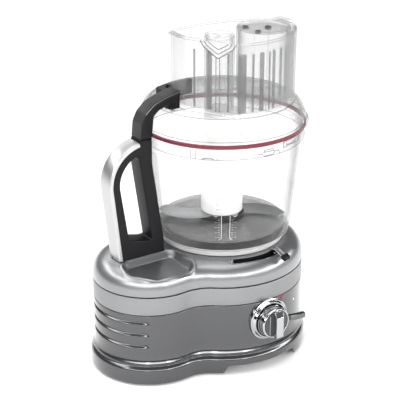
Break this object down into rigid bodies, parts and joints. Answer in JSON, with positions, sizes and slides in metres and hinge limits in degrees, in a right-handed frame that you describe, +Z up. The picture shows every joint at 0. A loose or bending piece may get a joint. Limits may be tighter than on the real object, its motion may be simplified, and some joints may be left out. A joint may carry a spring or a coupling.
{
  "type": "food processor",
  "caption": "Countertop food processor: two-lobed metal base with belt drive, clear bowl with spinning blade, locking lid and feed tube with nested pushers.",
  "frame": {"origin": "bottom centre of the whole object's box, on the table under the base", "axes": "+Z up; the control knob faces -Y; the bowl handle and motor lobe are towards -X"},
  "size_m": [0.311, 0.2524, 0.4464],
  "materials": {
    "cast_grey": "metallic grey enamel, glossy clear coat",
    "body_grey": "darker metallic grey enamel",
    "brushed_band": "brushed satin",
    "black_plastic": "satin black",
    "chrome_trim": "polished",
    "satin_silver": "satin",
    "dark_metal": "dark satin",
    "clear_plastic": "clear moulded copolyester",
    "white_plastic": "smooth white",
    "red_seal": "soft silicone",
    "red_lens": "translucent red",
    "foot_rubber": "matt",
    "blade_steel": "ground stainless",
    "shaft_steel": "turned",
    "bracket_alloy": "die cast",
    "lamination": "varnished laminations",
    "rotor_copper": "varnished windings",
    "bearing_steel": "ground",
    "board_green": "solder mask",
    "belt_rubber": "ribbed belt",
    "acetal": "natural acetal"
  },
  "bodies": {
    "base": {"deck_housing": "cast_grey", "trim_band": "brushed_band", "body_housing": "body_grey", "bottom_plate": "black_plastic", "rubber_feet": "foot_rubber", "base_screws": "shaft_steel", "knob_bezel": "chrome_trim", "indicator_lens": "red_lens", "slot_frame": "chrome_trim", "cord_gland": "black_plastic", "rotary_switch": "black_plastic", "circuit_board": "board_green", "interlock_switch": "black_plastic", "motor_stator": "lamination", "motor_upper_bracket": "bracket_alloy", "motor_lower_bracket": "bracket_alloy", "motor_bearings": "bearing_steel", "drive_belt": "belt_rubber", "spindle_housing": "bracket_alloy", "spindle_bearings": "bearing_steel"},
    "rotor": {"rotor_core": "rotor_copper", "motor_shaft": "shaft_steel", "cooling_fan": "black_plastic", "motor_pulley": "bracket_alloy"},
    "spindle": {"spindle_pulley": "bracket_alloy", "spindle_shaft": "shaft_steel"},
    "slice_cam": {"cam_ring": "acetal", "slice_lever": "chrome_trim", "lever_tip": "black_plastic"},
    "lifter": {"slicing_lifter": "acetal"},
    "knob": {"control_knob": "dark_metal", "grip_bar": "chrome_trim"},
    "paddle": {"pulse_paddle": "chrome_trim"},
    "bowl": {"bowl": "clear_plastic", "handle_frame": "black_plastic", "handle_grip": "satin_silver", "handle_screws": "shaft_steel", "pin_spring": "shaft_steel"},
    "lock_pin": {"interlock_pin": "acetal"},
    "blade": {"blade_hub": "white_plastic", "hub_cap": "white_plastic", "blade_collar": "black_plastic", "upper_blade": "blade_steel", "lower_blade": "blade_steel"},
    "lid": {"lid": "clear_plastic", "lid_seal": "red_seal", "feed_tube": "clear_plastic", "lid_arm": "black_plastic", "arm_cover": "satin_silver", "arm_screws": "shaft_steel"},
    "large_pusher": {"large_pusher": "clear_plastic"},
    "medium_pusher": {"medium_pusher": "clear_plastic"},
    "small_pusher": {"small_pusher": "clear_plastic"}
  },
  "joints": [
    {"name": "motor_spin", "type": "hinge", "parent": "base", "child": "rotor", "pos_m": [-0.075, 0.01075, 0.07], "axis": [0, 0, 1], "continuous": true},
    {"name": "spindle_spin", "type": "hinge", "parent": "base", "child": "spindle", "pos_m": [0.04, 0.01075, 0.07], "axis": [0, 0, 1], "continuous": true},
    {"name": "blade_spin", "type": "hinge", "parent": "bowl", "child": "blade", "pos_m": [0.04, 0.01075, 0.2], "axis": [0, 0, 1], "continuous": true},
    {"name": "bowl_lift", "type": "slide", "parent": "base", "child": "bowl", "axis": [0, 0, 1], "range_m": [0, 0.16]},
    {"name": "lid_lift", "type": "slide", "parent": "bowl", "child": "lid", "axis": [0, 0, 1], "range_m": [0, 0.08]},
    {"name": "large_pusher_slide", "type": "slide", "parent": "lid", "child": "large_pusher", "axis": [0, 0, 1], "range_m": [0, 0.1]},
    {"name": "medium_pusher_slide", "type": "slide", "parent": "large_pusher", "child": "medium_pusher", "axis": [0, 0, 1], "range_m": [0, 0.1]},
    {"name": "small_pusher_slide", "type": "slide", "parent": "large_pusher", "child": "small_pusher", "axis": [0, 0, 1], "range_m": [0, 0.1]},
    {"name": "knob_turn", "type": "hinge", "parent": "base", "child": "knob", "pos_m": [0.04, -0.09925, 0.0725], "axis": [0, 1, 0], "range_deg": [0, 60]},
    {"name": "paddle_press", "type": "hinge", "parent": "base", "child": "paddle", "pos_m": [0.04, -0.09925, 0.0725], "axis": [0, 1, 0], "range_deg": [0, 12], "stiffness_Nm_per_rad": 0.6, "springref_deg": -5.73},
    {"name": "slice_lever_turn", "type": "hinge", "parent": "base", "child": "slice_cam", "pos_m": [0.04, 0.01075, 0.14], "axis": [0, 0, 1], "range_deg": [-34, 0]},
    {"name": "slicing_lift", "type": "slide", "parent": "base", "child": "lifter", "axis": [0, 0, 1], "range_m": [0, 0.0061]},
    {"name": "lock_pin_press", "type": "slide", "parent": "bowl", "child": "lock_pin", "axis": [0, 0, 1], "range_m": [-0.005, 0], "stiffness_N_per_m": 150, "springref_m": 0.008, "deforming": ["pin_spring"]}
  ],
  "couplings": [
    {"joint": "spindle_spin", "follows": "motor_spin", "ratio": 0.25},
    {"joint": "blade_spin", "follows": "motor_spin", "ratio": 0.25},
    {"joint": "slicing_lift", "follows": "slice_lever_turn", "m_per_rad": -0.010111}
  ]
}
